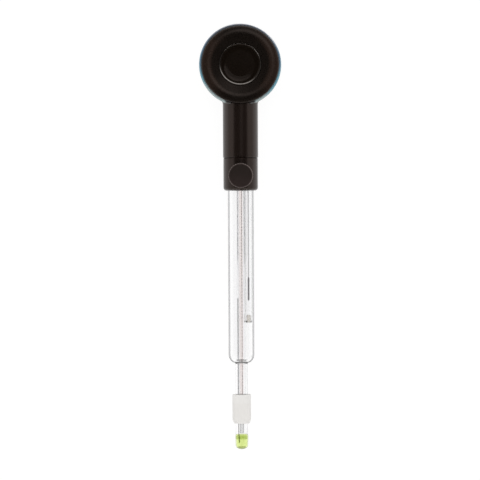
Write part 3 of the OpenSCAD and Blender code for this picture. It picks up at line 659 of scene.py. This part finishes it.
def outerTube():
    start, end = startOf("outer_tube"), endOf("outer_tube")
    wide, narrow = shaft["tubeRadius"], shaft["narrowRadius"]
    bore, narrowBore = wide - shaft["tubeWall"], narrow - shaft["narrowWall"]
    seat = wide - shaft["drawIn"]
    shoulder = endOf("junction_sleeve") + shaft["bareLength"]
    top = shoulder + shaft["shoulderHeight"]
    collar = end - shaft["hiddenLength"]
    edge = shaft["edge"]
    taper = shaft["taperRadius"]
    outside = [(narrowBore, start), (narrowBore + edge, start), (taper - edge, start)]
    outside += [(taper, start + edge), (narrow, start + shaft["taperLength"])]
    soft = shaft["fillet"]
    bare = np.linspace(start + shaft["taperLength"] + 0.4, shoulder - soft - 0.1, 12)
    outside += [(narrow, s) for s in bare]
    outside += [(narrow + soft * (1 - np.cos(a)), shoulder - soft * (1 - np.sin(a)))
                for a in np.linspace(0, 1.5, 8)]
    outside += [point for point in quarter(narrow, wide, shoulder, top, 40) if point[0] > narrow + soft + 0.1]
    outside += [(wide, s) for s in np.linspace(top + 0.5, collar, 40)]
    outside += [(seat, collar + 0.1), (seat, end - edge), (seat - edge, end), (bore + edge, end)]
    inside = [(narrowBore, s) for s in np.linspace(start + 0.5, shoulder - 0.3, 14)]
    inside += quarter(narrowBore, bore, shoulder + shaft["tubeWall"], top, 28)
    inside += [(bore, s) for s in np.linspace(top + 0.5, end - edge, 40)]
    tube = turned("outerTube", outside + inside[::-1], segments=160)
    cutHole(tube, (0, capY, axisZ + wide), (0, 0, 1), shaft["fillingHole"], 6)
    holeY = tipY + start + shaft["taperLength"] / 2
    cutHole(tube, (shaft["taperRadius"], holeY, axisZ), (1, 0, 0), shaft["junctionHole"], 3)
    return finishPiece(tube, materials["clear_glass"], "clear_glass", rootBody, "outer_tube")


outerTube()
print("outer tube made")

# Inner stem: a thin tube that widens above the bulb, where the outer tube is fused on
stem = {
    "radius": 1.8,
    "wall": 0.5,
    "tipRadius": 2.85,
    "flare": 1.2,
}


def innerStem():
    start, end = startOf("inner_stem"), endOf("inner_stem")
    fuse = startOf("outer_tube")
    radius, tipRadius = stem["radius"], stem["tipRadius"]
    bore, tipBore = radius - stem["wall"], tipRadius - stem["wall"]
    outside = [(tipRadius, s) for s in np.linspace(start, fuse - 0.25, 8)]
    outside += [(tipRadius - 0.08, fuse - 0.05), (tipRadius - 0.3, fuse), (radius + 0.1, fuse)]
    outside += [(radius, s) for s in np.linspace(fuse + 0.15, end, 60)]
    inside = [(tipBore, s) for s in np.linspace(start, fuse - stem["flare"] - 0.4, 6)]
    drop = np.linspace(0, 1, 10)
    ease = drop * drop * (3 - 2 * drop)
    inside += list(zip(tipBore + (bore - tipBore) * ease, fuse - stem["flare"] + stem["flare"] * drop))
    inside += [(bore, s) for s in np.linspace(fuse + 0.2, end, 60)]
    piece = turned("innerStem", outside + inside[::-1], segments=96)
    return finishPiece(piece, materials["clear_glass"], "clear_glass", rootBody, "inner_stem")


innerStem()

# Sensing bulb: a blown cylinder with a round end, and a soft seam where it meets the clear glass
bulb = {
    "radius": 3.0,
    "endRadius": 2.85,
    "endHeight": 1.85,
    "wall": 0.45,
    "seam": 0.8,
    "pinch": 0.07,
}


def sensingBulb():
    end = endOf("sensing_bulb")
    wall, tip = bulb["wall"], bulb["endHeight"]
    along = np.linspace(0, 1, 14)[1:]
    swell = bulb["endRadius"] + (bulb["radius"] - bulb["endRadius"]) * np.sin(along * np.pi / 2)
    station = tip + (end - bulb["seam"] - tip) * along
    outside = quarter(0, bulb["endRadius"], 0, tip, 26) + list(zip(swell, station))
    outside += [(stem["tipRadius"] + 0.06, end - 0.3), (stem["tipRadius"] - bulb["pinch"], end)]
    inside = quarter(0, bulb["endRadius"] - wall, wall, tip, 26) + list(zip(swell - wall, station))
    inside += [(stem["tipRadius"] - stem["wall"], end)]
    piece = turned("sensingBulb", outside + inside[::-1], segments=96, ring=False)
    return finishPiece(piece, materials["bulb_glass"], "bulb_glass", rootBody, "sensing_bulb")


sensingBulb()

# Reference chamber tube beside the stem, with rounded open ends
reference = {
    "radius": 1.5,
    "wall": 0.5,
    "fritRadius": 0.95,
    "wireRadius": 0.25,
    "coatRadius": 0.4,
    "coatLength": 10.8,
}


def referenceTube():
    start, end = startOf("reference_tube"), endOf("reference_tube")
    radius, bore = reference["radius"], reference["radius"] - reference["wall"]
    along = np.linspace(start + 0.15, end - 0.15, 40)
    outside = [(bore + 0.1, start), (radius - 0.1, start)] + [(radius, s) for s in along]
    outside += [(radius - 0.1, end), (bore + 0.1, end)]
    profile = outside + [(bore, s) for s in along[::-1]]
    piece = turned("referenceTube", profile, referenceX, 72)
    return finishPiece(piece, materials["clear_glass"], "clear_glass", rootBody, "reference_tube")


def referenceFrit():
    start, end = startOf("reference_frit"), endOf("reference_frit")
    radius = reference["fritRadius"]
    profile = [(0, start), (radius - 0.12, start), (radius, start + 0.12)]
    profile += [(radius, s) for s in np.linspace(start + 0.4, end - 0.3, 6)]
    profile += [(radius - 0.1, end), (0, end)]
    piece = turned("referenceFrit", profile, referenceX, 48, ring=False)
    return finishPiece(piece, materials["frit_ceramic"], "frit_ceramic", rootBody, "reference_frit")


# The silver wire's coated end swells and thins a little along its length
def referenceElement():
    start, end = startOf("reference_element"), endOf("reference_element")
    coated = np.linspace(0, 1, 60)
    uneven = 1 - 0.05 * np.sin(coated * 31) ** 2 - 0.04 * np.sin(coated * 13 + 1) ** 2
    ends = np.clip(np.minimum(coated, 1 - coated) * 24, 0, 1) ** 0.5
    radius = reference["wireRadius"] + (reference["coatRadius"] - reference["wireRadius"]) * uneven * ends
    profile = [(0, start)] + list(zip(radius, start + 0.02 + reference["coatLength"] * coated))
    profile += [(reference["wireRadius"], s) for s in np.linspace(profile[-1][1] + 0.2, end - 0.05, 20)]
    piece = turned("referenceElement", profile + [(0, end)], referenceX, 32, ring=False)
    material = coatedSilver("silver_chloride", start - 1, start + reference["coatLength"],
                            (0.86, 0.86, 0.87), (0.36, 0.35, 0.38), (0.54, 0.52, 0.56))
    return finishPiece(piece, material, "silver_chloride", rootBody, "reference_element")


referenceTube()
referenceFrit()
referenceElement()
print("reference chamber made")

# Leads in the stem: a soft pinkish sleeve with a fine twisted pair, and the sensor under it
leads = {
    "sleeveRadius": 0.95,
    "sleeveWall": 0.28,
    "wireRadius": 0.06,
    "pairRadius": 0.07,
    "pairX": 0.335,
    "pitch": 3.0,
    "pale": (0.46, 0.33, 0.29),
    "dark": (0.10, 0.06, 0.05),
}


def leadSleeve():
    start, end = startOf("lead_sleeve"), endOf("lead_sleeve")
    radius = leads["sleeveRadius"]
    bore = radius - leads["sleeveWall"]
    along = np.linspace(start + 0.1, end - 0.1, 80)
    profile = [(bore + 0.05, start), (radius - 0.05, start)] + [(radius, s) for s in along]
    profile += [(radius - 0.05, end), (bore + 0.05, end)] + [(bore, s) for s in along[::-1]]
    piece = turned("leadSleeve", profile, 0, 48)
    material, graph = newMaterial("sleeve_tubing")
    cloud = graph.noise(1.5, 3.0)
    graph.surface(
        Base_Color=graph.mix(cloud, (0.985, 0.935, 0.92), (0.995, 0.965, 0.955)),
        Roughness=0.04,
        IOR=1.14,
        Transmission_Weight=1.0,
    )
    return finishPiece(piece, material, "sleeve_tubing", rootBody, "lead_sleeve")


# Enamel painted darker as shade where the two wires cross, twice in each pitch
def twistedEnamel():
    material, graph = newMaterial("lead_enamel")
    x, y, z = graph.parts(graph.place())
    turns = (y / mm - tipY - startOf("temperature_leads")) * (4 * math.pi / leads["pitch"])
    # Painted shade along the twist, twice in each pitch
    twistShade = turns.math("COSINE").rise(-0.5, 0.7)
    graph.surface(
        Base_Color=graph.mix(twistShade, leads["pale"], leads["dark"]),
        Roughness=0.35 + graph.noise(0.8) * 0.1,
    )
    return material


# Two wires wind round each other, so each lies on a helix half a turn from the other
def temperatureLeads():
    start, end = startOf("temperature_leads"), endOf("temperature_leads")
    station = np.linspace(start + 0.05, end - 0.05, 1400)
    material = twistedEnamel()
    strands = []
    for half in (0, np.pi):
        angle = 2 * np.pi * (station - start) / leads["pitch"] + half
        across = leads["pairX"] + leads["pairRadius"] * np.cos(angle)
        path = np.stack([across, station, leads["pairRadius"] * np.sin(angle)], axis=1)
        strands.append(swept("temperatureLead", path, roundedEnds(len(path), leads["wireRadius"]), 8))
    joined = bmesh.new()
    for strand in strands:
        joined.from_mesh(strand.data)
        bpy.data.objects.remove(strand)
    mesh = bpy.data.meshes.new("temperatureLeads")
    joined.to_mesh(mesh)
    joined.free()
    mesh.shade_smooth()
    piece = bpy.data.objects.new("temperatureLeads", mesh)
    bpy.context.scene.collection.objects.link(piece)
    return finishPiece(piece, material, "lead_enamel", rootBody, "temperature_leads")


# The bulb's wire leans out where the glass widens, then hangs in the bulb
bulbWireLook = {
    "wireRadius": 0.13,
    "stemWireRadius": 0.08,
    "coatRadius": 0.33,
    "coatLength": 3.6,
    "stemX": -1.12,
    "tipX": -1.45,
    "endX": -1.15,
}


def bulbWire():
    start, end = startOf("bulb_wire"), endOf("bulb_wire")
    widest = startOf("inner_stem") + 0.5
    entry = startOf("outer_tube")
    knots = [start, start + 2, widest, entry - 1.5, entry + 0.6, entry + 4, end]
    sides = [bulbWireLook[k] for k in ("endX", "endX", "tipX", "tipX", "stemX", "stemX", "stemX")]
    fine = np.linspace(start, entry + 4, 120)
    station = np.concatenate([fine, np.linspace(entry + 4.5, end, 60)])
    sideways = np.interp(station, knots, sides)
    sideways[:170] = np.convolve(np.pad(sideways, 6, "edge"), np.ones(13) / 13, "valid")[:170]
    coated = station - start < bulbWireLook["coatLength"]
    radii = np.where(coated, bulbWireLook["coatRadius"], bulbWireLook["wireRadius"])
    radii = np.where(station > entry + 0.6, bulbWireLook["stemWireRadius"], radii)
    radii[0], radii[1], radii[-1] = 0, bulbWireLook["coatRadius"] * 0.7, 0
    piece = swept("bulbWire", np.stack([sideways, station, 0 * station], axis=1), radii, 16)
    material = coatedSilver("silver_wire", start - 1, start + bulbWireLook["coatLength"],
                            (0.92, 0.92, 0.93), (0.55, 0.60, 0.40), (0.72, 0.76, 0.55), entry)
    return finishPiece(piece, material, "silver_wire", rootBody, "bulb_wire")


leadSleeve()
temperatureLeads()
bulbWire()
print("leads made")

# Junction sleeve: waxy plastic, its edges softened by use
sleeve = {
    "radius": 4.3,
    "mouth": 3.2,
    "throat": 2.9,
    "lip": 0.4,
    "chamfer": 1.65,
    "taperLift": 1.6,
    "edge": 0.18,
}


def junctionSleeve():
    start, end = startOf("junction_sleeve"), endOf("junction_sleeve")
    radius, mouth, throat, edge = sleeve["radius"], sleeve["mouth"], sleeve["throat"], sleeve["edge"]
    lip, chamfer, lift = sleeve["lip"], sleeve["chamfer"], sleeve["taperLift"]
    outside = [(mouth + 0.06, start), (mouth + lip - 0.08, start), (mouth + lip, start + 0.08)]
    outside += [(radius - 0.07, start + chamfer - 0.12), (radius, start + chamfer + 0.12)]
    outside += [(radius, s) for s in np.linspace(start + chamfer + 0.4, end - edge, 14)]
    outside += quarter(radius, radius - edge, end - edge, end, 5)
    outside += [(throat + 0.1, end)]
    inside = [(throat, end - 0.1), (throat, start + lift + shaft["taperLength"]), (mouth, start + lift)]
    inside += [(mouth, start + 0.06)]
    piece = turned("junctionSleeve", outside + inside, segments=96)
    return finishPiece(piece, materials["fluoropolymer"], "fluoropolymer", sleeveBody, "junction_sleeve")


junctionSleeve()
print("sleeve made")

# Stage: a white ground that keeps a faint shadow, and soft light all round
stageLook = {
    "halfWidth": 3.0,
    "white": 0.925,
    "shadowPart": 0.12,
    "surround": 0.72,
    "overhead": 0.02,
    "brightBelow": 0.70,
    "plain": 0.9,
    "seen": 1.06,
    "throughGlass": 0.52,
    "spotTilt": 16.5,
    "spotSide": 6.0,
    "spotInner": 9.5,
    "spotOuter": 12.5,
    "spot": 1.0,
    "lamp": 1.2,
    "lampLow": 0.50,
    "lampHigh": 0.64,
}


def buildStage():
    half = stageLook["halfWidth"]
    mesh = bpy.data.meshes.new("ground")
    corners = [(-half, -half, 0), (half, -half, 0), (half, half, 0), (-half, half, 0)]
    mesh.from_pydata(corners, [], [(0, 1, 2, 3)])
    ground = bpy.data.objects.new("ground", mesh)
    bpy.context.scene.collection.objects.link(ground)
    material, graph = newMaterial("ground")
    path = graph.add("ShaderNodeLightPath", {}, {}, "Is Camera Ray")
    seen = (path + path.output("Is Glossy Ray") + path.output("Is Transmission Ray")).math("MINIMUM", 1)
    glow = graph.add("ShaderNodeEmission", {}, {"Color": (1, 1, 1, 1), "Strength": stageLook["white"]})
    lit = graph.add("ShaderNodeBsdfDiffuse", {}, {"Color": (*[stageLook["shadowPart"]] * 3, 1)})
    both = graph.add("ShaderNodeAddShader", {}, {0: glow, 1: lit})
    plain = graph.add("ShaderNodeBsdfDiffuse", {}, {"Color": (0.8, 0.8, 0.8, 1)})
    shader = graph.add("ShaderNodeMixShader", {}, {0: seen, 1: plain, 2: both})
    graph.add("ShaderNodeOutputMaterial", {}, {"Surface": shader})
    mesh.materials.append(material)


# The world: dark overhead, bright from halfway down, a small soft light near the camera, and a long
# lamp towards the head and one towards the tip, which light the rounded edges. The camera, the glass
# and diffuse light each see a level of their own
def buildWorld():
    world = bpy.data.worlds.new("surroundings")
    bpy.context.scene.world = world
    world.use_nodes = True
    graph = Graph(world.node_tree)
    direction = graph.add("ShaderNodeTexCoord", {}, {}, "Generated")
    x, y, z = graph.parts(direction)
    tilt, side = math.radians(stageLook["spotTilt"]), math.radians(stageLook["spotSide"])
    towards = (math.sin(side), math.sin(tilt), math.cos(tilt) * math.cos(side))
    facing = graph.add("ShaderNodeVectorMath", {"operation": "DOT_PRODUCT"},
                       {0: direction, 1: towards}, "Value")
    inner, outer = [math.cos(math.radians(stageLook[k])) for k in ("spotInner", "spotOuter")]
    spot = facing.rise(outer, inner) * stageLook["spot"]
    below = 1 - z.rise(stageLook["brightBelow"] - 0.03, stageLook["brightBelow"] + 0.03)
    flat = (x * x + y * y) ** 0.5
    ahead = (y / flat).rise(0.64, 0.72) + (-1 * y / flat).rise(0.46, 0.54)
    lamps = ahead * z.band(stageLook["lampLow"], stageLook["lampHigh"], 0.02) * stageLook["lamp"]
    structured = stageLook["overhead"] + below * stageLook["surround"] + spot + lamps
    path = graph.add("ShaderNodeLightPath", {}, {}, "Is Transmission Ray")
    scattered = path.output("Diffuse Depth").math("MINIMUM", 1)
    direct = path * stageLook["throughGlass"] + (1 - path) * structured
    seen = path.output("Is Camera Ray")
    level = scattered * stageLook["plain"] + (1 - scattered) * direct
    level = seen * stageLook["seen"] + (1 - seen) * level
    shader = graph.add("ShaderNodeBackground", {}, {"Color": (1.0, 0.985, 0.965, 1), "Strength": level})
    graph.add("ShaderNodeOutputWorld", {}, {"Surface": shader})


# A long lens straight above, its top towards the head, turned very slightly as in the photograph
camera = {
    "lens": 200.0,
    "span": 222.7,
    "centreY": -1.45,
    "centreX": -0.44,
    "roll": -0.27,
}


def buildCamera():
    data = bpy.data.cameras.new("camera")
    eye = bpy.data.objects.new("camera", data)
    bpy.context.scene.collection.objects.link(eye)
    bpy.context.scene.camera = eye
    data.lens = camera["lens"]
    distance = camera["span"] * data.lens / data.sensor_width
    eye.location = Vector((camera["centreX"], camera["centreY"], axisZ + distance)) * mm
    eye.rotation_euler = (0, 0, math.radians(camera["roll"]))
    data.clip_start, data.clip_end = 0.01, 20


buildStage()
buildWorld()
buildCamera()
scene = bpy.context.scene
scene.view_settings.view_transform = "Standard"
scene.cycles.max_bounces = 24
scene.cycles.transmission_bounces = 20
scene.cycles.transparent_max_bounces = 12
print("stage made")
